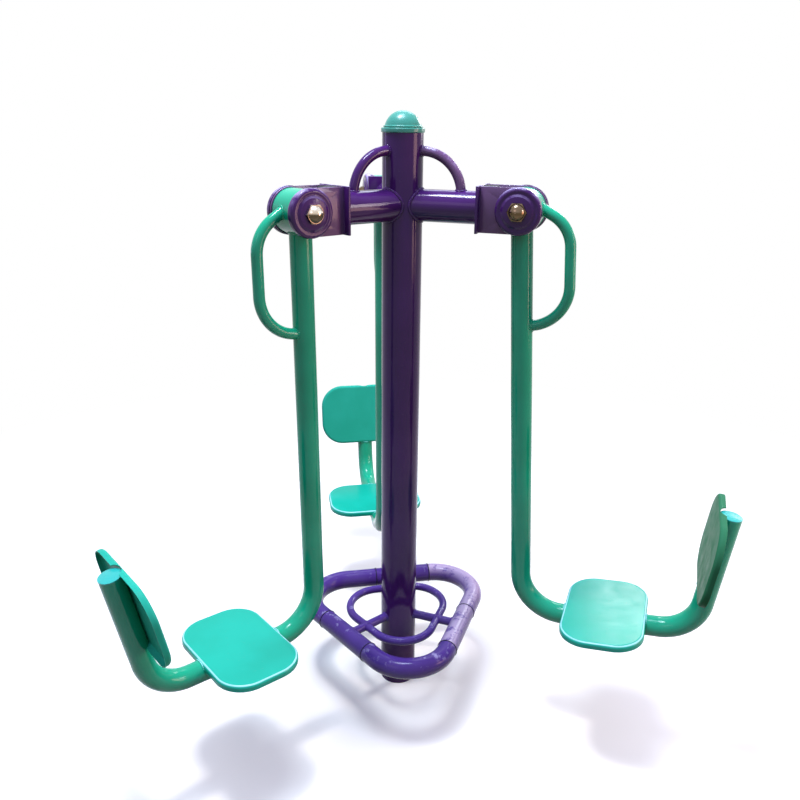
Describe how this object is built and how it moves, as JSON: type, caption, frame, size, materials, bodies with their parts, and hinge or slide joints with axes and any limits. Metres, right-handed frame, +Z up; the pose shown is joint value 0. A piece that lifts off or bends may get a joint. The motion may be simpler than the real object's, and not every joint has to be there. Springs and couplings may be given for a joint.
{
  "type": "outdoor seated leg press",
  "caption": "Round post with radial arms, each hanging a seat and backrest on a pivoted bent tube with a handle, over a triangular foot ring.",
  "frame": {"origin": "on the post's axis at the ground, at the centre of the open foot", "axes": "+Z up the post; the back station lies along +Y, the others a third of a turn to either side"},
  "size_m": [1.7576, 1.5484, 1.822],
  "materials": {
    "purple_paint": "gloss powder coat",
    "teal_paint": "gloss powder coat",
    "pan_paint": "gloss powder coat",
    "cap_green": "gloss powder coat on a cast cap",
    "stainless": "polished stainless steel",
    "shaft_steel": "turned steel",
    "bearing_steel": "ground steel",
    "rubber": "matt moulded rubber"
  },
  "bodies": {
    "stand": {"post": "purple_paint", "post_cap": "cap_green", "arm_back": "purple_paint", "arm_left": "purple_paint", "arm_right": "purple_paint", "brace_back": "purple_paint", "brace_left": "purple_paint", "brace_right": "purple_paint", "end_plate_back": "purple_paint", "end_plate_left": "purple_paint", "end_plate_right": "purple_paint", "cheeks_back": "purple_paint", "cheeks_left": "purple_paint", "cheeks_right": "purple_paint", "stop_buffers_back": "rubber", "stop_buffers_left": "rubber", "stop_buffers_right": "rubber", "pivot_shaft_back": "shaft_steel", "pivot_shaft_left": "shaft_steel", "pivot_shaft_right": "shaft_steel", "pivot_covers_back": "purple_paint", "pivot_covers_left": "purple_paint", "pivot_covers_right": "purple_paint", "cap_nuts_back": "stainless", "cap_nuts_left": "stainless", "cap_nuts_right": "stainless", "foot_corner_left": "purple_paint", "foot_corner_front": "purple_paint", "foot_corner_right": "purple_paint", "foot_side_back": "purple_paint", "foot_side_left": "purple_paint", "foot_side_right": "purple_paint", "spokes": "purple_paint", "inner_ring": "purple_paint"},
    "swing_back": {"pivot_housing_back": "teal_paint", "bearings_back": "bearing_steel", "swing_tube_back": "teal_paint", "handle_back": "teal_paint", "seat_back": "pan_paint", "backrest_back": "pan_paint", "end_cap_back": "teal_paint"},
    "swing_left": {"pivot_housing_left": "teal_paint", "bearings_left": "bearing_steel", "swing_tube_left": "teal_paint", "handle_left": "teal_paint", "seat_left": "pan_paint", "backrest_left": "pan_paint", "end_cap_left": "teal_paint"},
    "swing_right": {"pivot_housing_right": "teal_paint", "bearings_right": "bearing_steel", "swing_tube_right": "teal_paint", "handle_right": "teal_paint", "seat_right": "pan_paint", "backrest_right": "pan_paint", "end_cap_right": "teal_paint"}
  },
  "joints": [
    {"name": "back_swing", "type": "hinge", "parent": "stand", "child": "swing_back", "pos_m": [0, 0.34, 1.572], "axis": [1, 0, 0], "range_deg": [0, 35]},
    {"name": "left_swing", "type": "hinge", "parent": "stand", "child": "swing_left", "pos_m": [-0.29445, -0.17, 1.572], "axis": [-0.5, 0.866, 0], "range_deg": [0, 35]},
    {"name": "right_swing", "type": "hinge", "parent": "stand", "child": "swing_right", "pos_m": [0.29445, -0.17, 1.572], "axis": [-0.5, -0.866, 0], "range_deg": [0, 35]}
  ]
}
